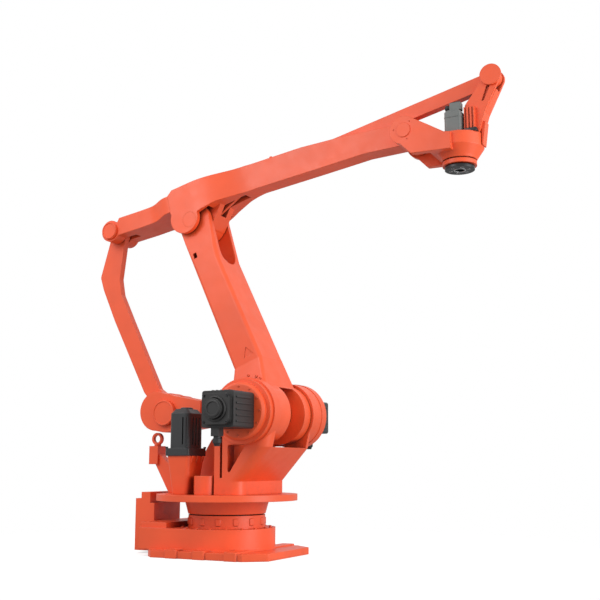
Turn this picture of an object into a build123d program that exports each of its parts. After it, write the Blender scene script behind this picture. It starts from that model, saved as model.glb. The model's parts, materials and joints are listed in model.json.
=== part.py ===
# Four axis palletizing robot arm with a parallel link and a levelled wrist.
# Lengths in mm. X points along the reach, Y to the left, Z up, origin on the swing axis at floor level.
import os
from math import cos, radians, sin

from build123d import *

os.makedirs("parts", exist_ok=True)

# Main axes
shoulder_x = 265.0
shoulder_z = 778.0
lower_arm_length = 1230.0
lower_arm_angle = 111.5
crank_length = 630.0
crank_angle = 178.6
forearm_length = 1384.0
forearm_angle = 13.9
level_length = 525.0
level_angle = 29.8
flange_reach = 259.0
flange_drop = 220.0

# Clearances
move_gap = 6.0
pin_gap = 1.0

# Base
foot_rear = -345.0
foot_front = 398.0
foot_front_half = 235.0
foot_half = 320.0
foot_corner = 55.0
foot_slant = 110.0
foot_top = 38.0
foot_pad_width = 78.0
foot_pad_rise = 8.0
foot_pad_reach = 12.0
drum_radius = 274.0
drum_top = 152.0
box_rear = -539.0
box_front = -408.0
box_half = 130.0
box_bottom = 15.0
box_top = 281.0
box_step_top = 306.0
box_head_rear = -500.0
box_head_front = -437.0
box_head_top = 342.0
block_front = -235.0
block_inset = 20.0
block_top = 182.0
panel_width = 200.0
panel_height = 130.0
panel_depth = 14.0
panel_z = 110.0
panel_corner = 12.0
swing_radius = 216.0
swing_top = 222.0

# Turntable and column
plate_bottom = 300.0
plate_top = 335.0
plate_radius = 398.0
spigot_radius = 150.0
spigot_depth = 55.0
hub_low_radius = 218.0
hub_high_radius = 238.0
cheek_inner = 196.0
cheek_outer = 265.0
cheek_radius = 185.0
far_boss = 40.0
reducer_radius = 176.0
elbow_reducer_radius = 188.0
reducer_face = 333.0
reducer_rim = 34.0
reducer_step = 22.0
reducer_chamfer = 12.0
motor_width = 192.0
motor_height = 190.0
motor_length = 206.0
motor_cover_width = 164.0
motor_cover_height = 160.0
motor_cover_depth = 24.0
motor_corner = 14.0
motor_cover_corner = 30.0
motor_cap_radius = 52.0
motor_end = 589.0
column_rear = 76.0
column_foot_front = 236.0
column_foot_top = 408.0
wall_front = 400.0
column_front = 424.0
column_corner = 60.0
cheek_web_bottom = 660.0
cheek_web_front = 250.0
pocket_rear = 160.0
pocket_front = 272.0
pocket_bottom = 436.0
pocket_top = 602.0
slit_x = 119.0
slit_z = 536.0
slit_width = 14.0
slit_height = 220.0
slit_depth = 30.0
rear_wall = 34.0
wall_top = 590.0
rear_wall_top = 655.0
column_top = 702.0
web_half = 24.0
web_top = 640.0
web_rear = -385.0
lug_half = 40.0
lug_rear = -520.0
lug_front = -458.0
lug_web_top = 560.0
lug_bottom = 500.0
lug_top = 606.0
eye_x = -488.0
eye_rise = 42.0
eye_radius = 36.0
eye_hole_radius = 22.0
eye_half = 10.0
eye_foot_radius = 20.0
eye_foot_height = 14.0
swing_motor_x = -139.0
swing_motor_y = -220.0
swing_motor_width = 130.0
swing_motor_depth = 160.0
swing_motor_bottom = 545.0
swing_motor_top = 803.0
swing_motor_flange = 42.0
swing_motor_lip = 26.0
swing_motor_corner = 34.0
swing_motor_chamfer = 26.0
gear_foot_width = 104.0
gear_foot_depth = 120.0
gear_top_width = 150.0
gear_top_depth = 168.0
gear_corner = 24.0
cable_ring_x = 6.0
cable_ring_y = -240.0
cable_ring_radius = 62.0
cable_hole_radius = 42.0
cable_ring_height = 102.0

# Lower arm
arm_half = 130.0
hub_outer = cheek_inner - move_gap
hub_radius = 170.0
trunnion_radius = 95.0
trunnion_end = 250.0
crank_hub_far = 110.0
crank_hub_radius = 85.0
leg_slot_radius = 165.0
far_leg_inner = crank_hub_far + move_gap
fork_inner = 85.0
fork_depth = 225.0
fork_rear_depth = 170.0
fork_wall = 40.0
ear_radius = 108.0

# Crank, rear link and rear arm
crank_half = 50.0
near_leg_inner = crank_half + move_gap
link_half = 20.0
fork_gap_half = link_half + move_gap
fork_outer = 104.0
crank_pin_radius = 34.0
crank_shaft_radius = 60.0
crank_end_radius = 112.0
crank_nose_radius = 114.0
crank_cap_radius = 74.0
crank_cap_depth = 22.0
link_foot_radius = 80.0
link_top_radius = 64.0
rear_end_radius = 67.0
rear_cap_radius = 54.0
rear_cap_depth = 16.0

# Forearm
hub_plate_half = fork_inner - move_gap
cheek_gap = arm_half + move_gap
elbow_half = 165.0
beam_half = 58.0
tip_half = 106.0
tip_radius = 66.0
channel_half = 30.0
channel_floor = 74.0
channel_tip_floor = 58.0
elbow_pin_radius = 40.0
elbow_cap_radius = 46.0
elbow_cap_depth = 4.0
hub_centre = (-34.0, 24.0)
hub_cheek_radius = 94.0
flare_start = 40.0
flare_end = 440.0
window_start = 141.0
window_end = 330.0
lever_room = 68.0
rear_joint = -120.0
rear_joint_top = 196.0
rear_arm_floor = 92.0
rear_arm_crest = 212.0

# Levelling lever and rod
lever_hub_radius = 62.0
lever_foot_radius = 50.0
lever_end_radius = 26.0
lever_plate_half = 10.0
lever_hub_half = channel_half - move_gap
rod_half = 24.0
rod_depth = 36.0
rod_pin_radius = 18.0
rod_end_radius = 44.0
rod_fork_inner = lever_plate_half + 4.0

# Wrist
yoke_inner = tip_half + move_gap
yoke_outer = 150.0
yoke_radius = 78.0
wrist_radius = 132.0
wrist_drop = 170.0
wrist_top_drop = 42.0
ring_radius = 91.0
ring_drop = 199.0
flange_radius = 79.0
flange_shaft_radius = 42.0
bracket_inner = rod_half + move_gap
bracket_outer = 48.0
rib_outer = 72.0
wrist_pin_radius = 35.0
wrist_cap_radius = 40.0
wrist_cap_depth = 4.0
ring_groove = 7.0
bracket_end_radius = 52.0
bracket_disc_radius = 57.0
bracket_disc_depth = 12.0
bracket_offset = 52.0
bracket_foot_depth = 72.0
bracket_knee = 106.0
bracket_knee_height = 68.0
bracket_shoulder = 133.0
bracket_neck = 90.0
rib_top = 98.0
rib_depth = 56.0
wrist_motor_y = -58.0
wrist_motor_width = 90.0
wrist_motor_height = 131.0
wrist_motor_corner = 14.0
pilot_radius = 25.0
pilot_depth = 10.0
bolt_circle_radius = 50.0
bolt_count = 6
bolt_radius = 5.0
bolt_depth = 16.0


def reach(x, z, length, angle):
    """Point at a length and an upward angle from another point in the side view."""
    return x + length * cos(radians(angle)), z + length * sin(radians(angle))


def side(x, z, y=0.0, angle=0.0):
    """Side view plane whose sketches are pulled towards the robot's right."""
    along = (cos(radians(angle)), 0, sin(radians(angle)))
    return Plane(origin=(x, y, z), x_dir=along, z_dir=(0, -1, 0))


elbow_x, elbow_z = reach(shoulder_x, shoulder_z, lower_arm_length, lower_arm_angle)
crank_x, crank_z = reach(shoulder_x, shoulder_z, crank_length, crank_angle)
rear_x, rear_z = reach(elbow_x, elbow_z, crank_length, crank_angle)
wrist_x, wrist_z = reach(elbow_x, elbow_z, forearm_length, forearm_angle)
lever_x, lever_z = reach(elbow_x, elbow_z, level_length, level_angle)
top_x, top_z = reach(wrist_x, wrist_z, level_length, level_angle)
flange_x = wrist_x + flange_reach
flange_bottom = wrist_z - flange_drop
wrist_bottom = wrist_z - wrist_drop
wrist_top = wrist_z - wrist_top_drop
ring_bottom = wrist_z - ring_drop
flange_top = ring_bottom - move_gap
rear_s, rear_n = reach(0, 0, crank_length, crank_angle - forearm_angle)

# Base casting with foot plate and rear connector box
with BuildPart() as base:
    with BuildSketch(Plane.XY):
        Polygon(
            (foot_rear, -foot_half + foot_corner),
            (foot_rear + foot_corner, -foot_half),
            (foot_front - foot_slant, -foot_half),
            (foot_front, -foot_front_half),
            (foot_front, foot_front_half),
            (foot_front - foot_slant, foot_half),
            (foot_rear + foot_corner, foot_half),
            (foot_rear, foot_half - foot_corner),
            align=None,
        )
    extrude(amount=foot_top)
    with BuildSketch(Plane.XY):
        with Locations((-153, 0), (23, 0), (220, 0)):
            RectangleRounded(foot_pad_width, 2 * (foot_half + foot_pad_reach), 10)
    extrude(amount=foot_top + foot_pad_rise)
    with BuildSketch(Plane.XY.offset(foot_top)):
        Circle(drum_radius)
        with Locations((box_front / 2, 0)):
            Rectangle(-box_front, 2 * drum_radius)
    extrude(amount=drum_top - foot_top)
    with BuildSketch(Plane.XY.offset(drum_top)):
        with Locations(((box_front + block_front) / 2, 0)):
            Rectangle(block_front - box_front, 2 * (drum_radius - block_inset))
    extrude(amount=block_top - drum_top)
    with BuildSketch(side(0, 0, box_half)):
        Polygon(
            (box_rear, box_bottom),
            (box_rear, box_step_top),
            (box_head_rear, box_step_top),
            (box_head_rear, box_head_top),
            (box_head_front, box_head_top),
            (box_head_front, box_top),
            (box_front, box_top),
            (box_front, drum_top),
            (box_front + 60, drum_top),
            (box_front + 60, box_bottom),
            align=None,
        )
    extrude(amount=2 * box_half)
    with BuildSketch(Plane.XY.offset(drum_top)):
        Circle(swing_radius)
    extrude(amount=swing_top - drum_top)
    with BuildSketch(Plane.XY.offset(swing_top)):
        Circle(spigot_radius + pin_gap)
    extrude(amount=-spigot_depth - 5, mode=Mode.SUBTRACT)

# Connector panel on the rear of the base box
with BuildPart() as connector_panel:
    with BuildSketch(Plane(origin=(box_rear, 0, panel_z), x_dir=(0, -1, 0), z_dir=(-1, 0, 0))):
        RectangleRounded(panel_width, panel_height, panel_corner)
    extrude(amount=panel_depth)

# Turntable plate with its flared hub and centring spigot
with BuildPart() as turntable:
    with BuildSketch(Plane.XY.offset(plate_bottom)):
        Circle(plate_radius)
    extrude(amount=plate_top - plate_bottom)
    with BuildSketch(Plane.XZ):
        Polygon(
            (0, swing_top - spigot_depth),
            (spigot_radius, swing_top - spigot_depth),
            (spigot_radius, swing_top + move_gap),
            (hub_low_radius, swing_top + move_gap),
            (hub_high_radius, plate_bottom),
            (0, plate_bottom),
            align=None,
        )
    revolve(axis=Axis.Z)

# Column with a rounded front wall, two cheeks and the rear lug
with BuildPart() as column:
    for level, front in (
        (plate_top, column_foot_front),
        (column_foot_top, column_foot_front),
        (wall_top, wall_front),
        (column_top, column_front),
    ):
        with BuildSketch(Plane.XY.offset(level)):
            with Locations(((column_rear + front) / 2, 0)):
                Rectangle(front - column_rear, 2 * cheek_outer)
            fillet(vertices().group_by(Axis.X)[-1], radius=column_corner)
    loft(ruled=True)
    with BuildSketch(side(0, 0, -cheek_inner)):
        Polygon(
            (column_rear, cheek_web_bottom),
            (cheek_web_front, cheek_web_bottom),
            (cheek_web_front, shoulder_z),
            (column_rear + 4, shoulder_z),
            align=None,
        )
        with Locations((shoulder_x, shoulder_z)):
            Circle(cheek_radius)
    extrude(amount=cheek_outer - cheek_inner)
    with BuildSketch(side(0, 0, cheek_inner)):
        Polygon(
            (column_rear + rear_wall, plate_top + 30),
            (column_foot_front - 50, plate_top + 30),
            (wall_front - 100, wall_top),
            (column_front + 40, wall_top),
            (column_front + 40, column_top + 1),
            (column_rear - 1, column_top + 1),
            (column_rear - 1, rear_wall_top),
            (column_rear + rear_wall, rear_wall_top),
            align=None,
        )
    extrude(amount=2 * cheek_inner, mode=Mode.SUBTRACT)
    with BuildSketch(side(0, 0, -cheek_inner)):
        Polygon(
            (pocket_rear, pocket_top),
            (pocket_front, pocket_top),
            (pocket_rear, pocket_bottom),
            align=None,
        )
        fillet(vertices(), radius=9)
    extrude(amount=cheek_outer - cheek_inner + 1, mode=Mode.SUBTRACT)
    with BuildSketch(side(0, 0, slit_depth - cheek_outer)):
        with Locations((slit_x, slit_z)):
            Rectangle(slit_width, slit_height)
    extrude(amount=slit_depth + 1, mode=Mode.SUBTRACT)
    with BuildSketch(side(shoulder_x, shoulder_z, -cheek_inner)):
        Circle(trunnion_radius + pin_gap)
    extrude(amount=cheek_outer - cheek_inner, mode=Mode.SUBTRACT)
    split(bisect_by=Plane.XZ, keep=Keep.TOP)
    mirror(about=Plane.XZ)
    with BuildSketch(side(shoulder_x, shoulder_z, cheek_outer + far_boss)):
        Circle(cheek_radius)
        Circle(crank_shaft_radius + pin_gap, mode=Mode.SUBTRACT)
    extrude(amount=far_boss)
    with BuildSketch(side(0, 0, web_half)):
        Polygon(
            (web_rear, plate_top),
            (column_rear + 10, plate_top),
            (column_rear + 10, web_top),
            (column_rear - 170, web_top),
            (-200, plate_top + 135),
            (-300, plate_top + 95),
            (lug_front, lug_web_top),
            (lug_rear, lug_web_top),
            align=None,
        )
    extrude(amount=2 * web_half)
    with BuildSketch(side(0, 0, lug_half)):
        Polygon(
            (lug_rear, lug_bottom),
            (lug_front, lug_bottom),
            (lug_front, lug_top),
            (lug_rear, lug_top),
            align=None,
        )
    extrude(amount=2 * lug_half)

# Lifting eye on the rear lug
with BuildPart() as lifting_eye:
    with BuildSketch(side(eye_x, lug_top + eye_rise, eye_half)):
        Circle(eye_radius)
        Circle(eye_hole_radius, mode=Mode.SUBTRACT)
    extrude(amount=2 * eye_half)
    with BuildSketch(Plane.XY.offset(lug_top)):
        with Locations((eye_x, 0)):
            Circle(eye_foot_radius)
    extrude(amount=eye_foot_height)

# Gear housing of the swing drive
with BuildPart() as swing_gear_housing:
    with BuildSketch(Plane.XY.offset(plate_top)):
        with Locations((swing_motor_x, swing_motor_y)):
            RectangleRounded(gear_foot_width, gear_foot_depth, gear_corner)
    with BuildSketch(Plane.XY.offset(swing_motor_bottom)):
        with Locations((swing_motor_x, swing_motor_y)):
            RectangleRounded(gear_top_width, gear_top_depth, gear_corner)
    loft()

# Swing motor standing on its gear housing
with BuildPart() as swing_motor:
    with BuildSketch(Plane.XY.offset(swing_motor_bottom)):
        with Locations((swing_motor_x, swing_motor_y)):
            RectangleRounded(swing_motor_width + swing_motor_lip, swing_motor_depth + swing_motor_lip, 16)
    extrude(amount=swing_motor_flange)
    with BuildSketch(Plane.XY.offset(swing_motor_bottom + swing_motor_flange)):
        with Locations((swing_motor_x, swing_motor_y)):
            RectangleRounded(swing_motor_width, swing_motor_depth, swing_motor_corner)
    extrude(amount=swing_motor_top - swing_motor_bottom - swing_motor_flange)
    chamfer(faces().sort_by(Axis.Z)[-1].edges(), length=swing_motor_chamfer)
    with BuildSketch(Plane.XY.offset(swing_motor_bottom + 60)):
        with Locations((swing_motor_x, swing_motor_y)):
            with GridLocations(swing_motor_width, 30, 2, 3):
                Rectangle(20, 10)
        with Locations((swing_motor_x + 41, swing_motor_y)):
            with GridLocations(22, swing_motor_depth, 2, 2):
                Rectangle(8, 18)
    extrude(amount=150, mode=Mode.SUBTRACT)

# Cable ring beside the swing drive
with BuildPart() as cable_ring:
    with BuildSketch(Plane.XY.offset(plate_top)):
        with Locations((cable_ring_x, cable_ring_y)):
            Circle(cable_ring_radius)
            Circle(cable_hole_radius, mode=Mode.SUBTRACT)
    extrude(amount=cable_ring_height)

# Shoulder reducer on the robot's right
with BuildPart() as shoulder_reducer:
    with BuildSketch(side(shoulder_x, shoulder_z, -cheek_outer)):
        Circle(reducer_radius)
    extrude(amount=reducer_rim)
    with BuildSketch(side(shoulder_x, shoulder_z, -cheek_outer - reducer_rim)):
        Circle(reducer_radius - reducer_step)
    extrude(amount=reducer_face - cheek_outer - reducer_rim)
    chamfer(faces().sort_by(Axis.Y)[0].edges(), length=reducer_chamfer)

# Shoulder motor with a stepped end and a hanging connector
motor_body_end = reducer_face + motor_length
motor_cover_end = motor_body_end + motor_cover_depth
with BuildPart() as shoulder_motor:
    with BuildSketch(side(shoulder_x, shoulder_z, -reducer_face)):
        RectangleRounded(motor_width, motor_height, motor_corner)
    extrude(amount=motor_length)
    with BuildSketch(side(shoulder_x, shoulder_z, -motor_body_end)):
        RectangleRounded(motor_cover_width, motor_cover_height, motor_cover_corner)
    extrude(amount=motor_cover_depth)
    with BuildSketch(side(shoulder_x, shoulder_z, -motor_cover_end)):
        Circle(motor_cap_radius)
    extrude(amount=motor_end - motor_cover_end)
    with BuildSketch(side(shoulder_x - 20, shoulder_z - motor_height / 2 - 13, -motor_body_end + 56)):
        Rectangle(46, 60)
    extrude(amount=50)

# Elbow drive reducer on the robot's left
with BuildPart() as elbow_reducer:
    with BuildSketch(side(shoulder_x, shoulder_z, reducer_face + far_boss)):
        Circle(elbow_reducer_radius)
    extrude(amount=reducer_face - cheek_outer)
    chamfer(faces().sort_by(Axis.Y)[-1].edges(), length=reducer_chamfer)

# Elbow drive motor, the shoulder motor turned over
elbow_motor = mirror(shoulder_motor.part, about=Plane.XZ).moved(Location((0, far_boss, 0)))

# Lower arm with forked foot and forked top
arm_plane = side(shoulder_x, shoulder_z, 0, lower_arm_angle)
arm_axis = (cos(radians(lower_arm_angle)), 0, sin(radians(lower_arm_angle)))
arm_rear = (-sin(radians(lower_arm_angle)), 0, cos(radians(lower_arm_angle)))
arm_plan = Plane(origin=(shoulder_x, 0, shoulder_z), x_dir=arm_axis, z_dir=arm_rear)
fork_floor = lower_arm_length - fork_depth
fork_rear_floor = lower_arm_length - fork_rear_depth


def arm_section(along):
    """Plane square to the lower arm, a distance up from the shoulder axis."""
    x, z = reach(shoulder_x, shoulder_z, along, lower_arm_angle)
    return Plane(origin=(x, 0, z), x_dir=(0, 1, 0), z_dir=arm_axis)


with BuildPart() as lower_arm:
    with BuildSketch(arm_plane):
        Polygon(
            (280, -133),
            (lower_arm_length - 280, -82),
            (lower_arm_length, -ear_radius),
            (lower_arm_length, ear_radius),
            (lower_arm_length - 110, 104),
            (280, 55),
            align=None,
        )
        with Locations((lower_arm_length, 0)):
            Circle(ear_radius)
    extrude(amount=arm_half, both=True)
    fillet(edges().filter_by(lambda edge: edge.length > 0.4 * lower_arm_length), radius=22)
    with BuildSketch(arm_section(70)):
        RectangleRounded(2 * hub_outer, 250, 20)
    with BuildSketch(arm_section(285)):
        with Locations((0, -39)):
            RectangleRounded(2 * arm_half, 188, 20)
    loft()
    for floor, start, amount in ((fork_floor, fork_wall, -240), (fork_rear_floor, fork_wall - 1, 160)):
        with BuildSketch(arm_plan.offset(start)):
            with Locations((floor, 0)):
                Circle(fork_inner)
            with Locations((floor + 200, 0)):
                Rectangle(400, 2 * fork_inner)
        extrude(amount=amount, mode=Mode.SUBTRACT)
    with BuildSketch(arm_plan):
        Polygon(
            (lower_arm_length - 230, arm_half + 1),
            (lower_arm_length + 115, arm_half + 1),
            (lower_arm_length + 115, arm_half - 18),
            align=None,
        )
        mirror(about=Plane.XZ)
    extrude(amount=200, both=True, mode=Mode.SUBTRACT)
    for face in (-arm_half + 40, arm_half + 1):
        with BuildSketch(side(shoulder_x, shoulder_z, face, lower_arm_angle)):
            with Locations((lower_arm_length - 208, 58)):
                RectangleRounded(34, 24, 5)
        extrude(amount=41, mode=Mode.SUBTRACT)
    for face in (-arm_half + 4, arm_half + 1):
        with BuildSketch(side(shoulder_x, shoulder_z, face, lower_arm_angle)):
            Polygon((318, -96), (318, -30), (372, -62), align=None)
        extrude(amount=5, mode=Mode.SUBTRACT)
    with BuildSketch(arm_plane):
        Circle(hub_radius)
    extrude(amount=hub_outer, both=True)
    with BuildSketch(side(shoulder_x, shoulder_z, far_leg_inner, lower_arm_angle)):
        Circle(leg_slot_radius)
        Polygon((-180, -180), (60, -180), (120, -115), (150, -20), (150, 190), (-180, 190), align=None)
    extrude(amount=far_leg_inner + near_leg_inner, mode=Mode.SUBTRACT)
    with BuildSketch(arm_plane):
        Polygon((0, -60), (200, -60), (440, 20), (440, 200), (0, 200), align=None)
    extrude(amount=near_leg_inner, both=True, mode=Mode.SUBTRACT)
    with BuildSketch(side(shoulder_x, shoulder_z, -near_leg_inner)):
        Circle(trunnion_radius)
    extrude(amount=trunnion_end - near_leg_inner)
    with BuildSketch(side(shoulder_x, shoulder_z, trunnion_end)):
        Circle(trunnion_radius)
    extrude(amount=trunnion_end - far_leg_inner)
    with BuildSketch(side(shoulder_x, shoulder_z, trunnion_end + 1)):
        Circle(crank_shaft_radius + pin_gap)
    extrude(amount=trunnion_end + 2 - far_leg_inner, mode=Mode.SUBTRACT)
    with BuildSketch(side(elbow_x, elbow_z, 0)):
        Circle(elbow_pin_radius)
    extrude(amount=arm_half + 1, both=True, mode=Mode.SUBTRACT)

# Elbow pin held in the ears of the lower arm
with BuildPart() as elbow_pin:
    with BuildSketch(side(elbow_x, elbow_z, 0)):
        Circle(elbow_pin_radius)
    extrude(amount=elbow_half - elbow_cap_depth - 2, both=True)

# Crank with its drive shaft
crank_web = crank_length - 165.0
crank_nose = crank_length + 68.0
with BuildPart() as crank:
    with BuildSketch(side(shoulder_x, shoulder_z, 0, crank_angle)):
        Polygon(
            (0, -80),
            (0, 84),
            (0.52 * crank_length, 78),
            (crank_web, 70),
            (crank_web, -70),
            (0.52 * crank_length, -66),
            align=None,
        )
    extrude(amount=crank_half, both=True)
    with BuildSketch(side(shoulder_x, shoulder_z, -fork_gap_half, crank_angle)):
        Polygon(
            (crank_length - 240, -70),
            (crank_length - 240, 70),
            (crank_length + 20, 110),
            (crank_nose, 103),
            (crank_nose, -125),
            (crank_length + 20, -112),
            align=None,
        )
        with Locations((crank_length, 0)):
            Circle(crank_end_radius)
        with Locations((crank_nose, -11)):
            Circle(crank_nose_radius)
    extrude(amount=fork_outer - fork_gap_half)
    mirror(about=Plane.XZ)
    with BuildSketch(side(shoulder_x, shoulder_z, crank_hub_far)):
        Circle(crank_hub_radius)
    extrude(amount=crank_hub_far + crank_half)
    with BuildSketch(side(crank_x, crank_z, 0)):
        Circle(crank_pin_radius + pin_gap)
    extrude(amount=fork_outer + 1, both=True, mode=Mode.SUBTRACT)
    with BuildSketch(side(shoulder_x, shoulder_z, cheek_outer + far_boss)):
        Circle(crank_shaft_radius)
    extrude(amount=cheek_outer + far_boss - crank_hub_far)

# Pin between crank and rear link, with a cap at each end
with BuildPart() as crank_pin:
    with BuildSketch(side(crank_x, crank_z, 0)):
        Circle(crank_pin_radius)
    extrude(amount=fork_outer + 2, both=True)
    with BuildSketch(side(crank_x, crank_z, -fork_outer - 2)):
        Circle(crank_cap_radius)
    extrude(amount=crank_cap_depth)
    mirror(about=Plane.XZ)

# Bent rear link
with BuildPart() as rear_link:
    with BuildSketch(side(crank_x, crank_z, 0, lower_arm_angle)):
        Polygon(
            (0, 78),
            (204, 155),
            (lower_arm_length - 514, 213),
            (lower_arm_length - 293, 227),
            (lower_arm_length - 205, 222),
            (lower_arm_length, 62),
            (lower_arm_length, -62),
            (lower_arm_length - 281, 92),
            (lower_arm_length - 381, 111),
            (lower_arm_length - 570, 94),
            (180, 46),
            (0, -78),
            align=None,
        )
        fillet(vertices(), radius=30)
        Circle(link_foot_radius)
        with Locations((lower_arm_length, 0)):
            Circle(link_top_radius)
    extrude(amount=link_half, both=True)
    for x, z in ((crank_x, crank_z), (rear_x, rear_z)):
        with BuildSketch(side(x, z, 0)):
            Circle(crank_pin_radius + pin_gap)
        extrude(amount=link_half + 1, both=True, mode=Mode.SUBTRACT)

# Forearm, an open topped trough that flares into hub cheeks astride the lower arm ears
fore_plane = side(elbow_x, elbow_z, 0, forearm_angle)
fore_axis = (cos(radians(forearm_angle)), 0, sin(radians(forearm_angle)))
fore_up = (-sin(radians(forearm_angle)), 0, cos(radians(forearm_angle)))
fore_plan = Plane(origin=(elbow_x, 0, elbow_z), x_dir=fore_axis, z_dir=fore_up)
flare_middle = ((flare_start + flare_end) / 2, (elbow_half + beam_half) / 2)
with BuildPart() as forearm:
    with BuildSketch(fore_plane):
        Polygon(
            (rear_joint, 74),
            (rear_joint, rear_joint_top),
            (-84, 222),
            (120, 224),
            (380, 228),
            (forearm_length - 634, 194),
            (forearm_length - 374, 152),
            (forearm_length - 60, 88),
            (forearm_length, tip_radius),
            (forearm_length, -tip_radius),
            (forearm_length - 70, -36),
            (forearm_length - 272, 3),
            (forearm_length - 580, 30),
            (420, 66),
            (300, 66),
            (180, 58),
            (58, 30),
            align=None,
        )
        with Locations(hub_centre):
            Circle(hub_cheek_radius)
        with Locations((forearm_length, 0)):
            Circle(tip_radius)
    extrude(amount=elbow_half, both=True)
    with BuildSketch(fore_plan):
        with BuildLine():
            Spline(
                (flare_start, elbow_half),
                flare_middle,
                (flare_end, beam_half),
                tangents=((1, 0), (1, 0)),
            )
            Polyline(
                (flare_end, beam_half),
                (forearm_length + 100, beam_half),
                (forearm_length + 100, 0),
                (rear_joint - 60, 0),
                (rear_joint - 60, elbow_half),
                (flare_start, elbow_half),
            )
        make_face()
        mirror(about=Plane.XZ)
    extrude(amount=400, both=True, mode=Mode.INTERSECT)
    with BuildSketch(fore_plane):
        Circle(98)
        Polygon((0, -98), (80, -62), (140, 8), (180, 58), (180, 100), (-100, 100), (-98, 0), align=None)
    extrude(amount=hub_plate_half, both=True)
    with BuildSketch(fore_plane):
        with Locations((forearm_length, 0)):
            Circle(tip_radius)
    extrude(amount=tip_half, both=True)
    with BuildSketch(fore_plane):
        Circle(lever_room)
        Polygon(
            (-lever_room, 0),
            (20, -65),
            (window_start, 8),
            (window_start, -200),
            (window_end, -200),
            (window_end, channel_floor),
            (forearm_length - 484, channel_floor),
            (forearm_length - 384, channel_tip_floor),
            (forearm_length + 300, channel_tip_floor),
            (forearm_length + 300, 400),
            (-lever_room, 400),
            align=None,
        )
    extrude(amount=channel_half, both=True, mode=Mode.SUBTRACT)
    for face in (-hub_plate_half, cheek_gap):
        with BuildSketch(side(elbow_x, elbow_z, face, forearm_angle)):
            Circle(ear_radius + move_gap)
            Polygon((-300, 118), (-300, -300), (300, -300), (226, -42), (82, 88), (0, 118), align=None)
        extrude(amount=cheek_gap - hub_plate_half, mode=Mode.SUBTRACT)
    with BuildSketch(side(elbow_x, elbow_z, 0)):
        Circle(elbow_pin_radius + pin_gap)
    extrude(amount=elbow_half + 1, both=True, mode=Mode.SUBTRACT)
    for face in (elbow_cap_depth - elbow_half, elbow_half):
        with BuildSketch(side(elbow_x, elbow_z, face)):
            Circle(elbow_cap_radius)
        extrude(amount=elbow_cap_depth, mode=Mode.SUBTRACT)
    with BuildSketch(side(wrist_x, wrist_z, 0)):
        Circle(wrist_pin_radius + pin_gap)
    extrude(amount=tip_half + 1, both=True, mode=Mode.SUBTRACT)

# Caps over the elbow pin
with BuildPart() as elbow_caps:
    with BuildSketch(side(elbow_x, elbow_z, elbow_cap_depth - elbow_half)):
        Circle(elbow_cap_radius)
    extrude(amount=elbow_cap_depth)
    mirror(about=Plane.XZ)

# Rear arm bolted to the back of the forearm
with BuildPart() as rear_arm:
    with BuildSketch(fore_plane):
        Polygon(
            (rear_joint, rear_arm_floor),
            (rear_joint, rear_joint_top),
            (0.6 * rear_s, rear_arm_crest),
            (rear_s + 78, rear_n + 60),
            (rear_s + 48, rear_n + 24),
            (rear_s + 48, rear_n - 46),
            (0.65 * rear_s, rear_arm_floor + 14),
            (0.41 * rear_s, rear_arm_floor + 6),
            align=None,
        )
        with Locations((rear_s, rear_n)):
            Circle(rear_end_radius)
    extrude(amount=elbow_half, both=True)
    with BuildSketch(fore_plan):
        with BuildLine():
            Spline(
                (rear_joint, elbow_half),
                ((rear_joint + 0.5 * rear_s) / 2, (elbow_half + fork_outer) / 2),
                (0.5 * rear_s, fork_outer),
                tangents=((-1, 0), (-1, 0)),
            )
            Polyline(
                (0.5 * rear_s, fork_outer),
                (rear_s - 100, fork_outer),
                (rear_s - 100, 0),
                (rear_joint, 0),
                (rear_joint, elbow_half),
            )
        make_face()
        mirror(about=Plane.XZ)
    extrude(amount=400, both=True, mode=Mode.INTERSECT)
    with BuildSketch(side(rear_x, rear_z, 0, crank_angle)):
        Rectangle(280, 260)
    extrude(amount=fork_gap_half, both=True, mode=Mode.SUBTRACT)
    with BuildSketch(side(rear_x, rear_z, 0)):
        Circle(crank_pin_radius)
    extrude(amount=fork_outer + 1, both=True, mode=Mode.SUBTRACT)

# Pin of the rear arm with its end caps
with BuildPart() as rear_pin:
    with BuildSketch(side(rear_x, rear_z, 0)):
        Circle(crank_pin_radius)
    extrude(amount=fork_outer, both=True)
    with BuildSketch(side(rear_x, rear_z, -fork_outer)):
        Circle(rear_cap_radius)
    extrude(amount=rear_cap_depth)
    mirror(about=Plane.XZ)

# Levelling lever inside the forearm trough
with BuildPart() as level_lever:
    with BuildSketch(side(elbow_x, elbow_z, 0, level_angle)):
        Circle(lever_hub_radius)
    extrude(amount=lever_hub_half, both=True)
    with BuildSketch(side(elbow_x, elbow_z, 0, level_angle)):
        Circle(lever_foot_radius)
        Polygon(
            (0, -lever_foot_radius),
            (0, lever_foot_radius),
            (0.54 * level_length, 76),
            (level_length, lever_end_radius),
            (level_length, -lever_end_radius),
            (0.66 * level_length, 11),
            (0.27 * level_length, -10),
            align=None,
        )
        with Locations((level_length, 0)):
            Circle(lever_end_radius)
    extrude(amount=lever_plate_half, both=True)
    with BuildSketch(side(elbow_x, elbow_z, 0)):
        Circle(elbow_pin_radius + pin_gap)
    extrude(amount=lever_hub_half + 1, both=True, mode=Mode.SUBTRACT)
    with BuildSketch(side(lever_x, lever_z, 0)):
        Circle(rod_pin_radius)
    extrude(amount=rod_half, both=True)

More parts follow.
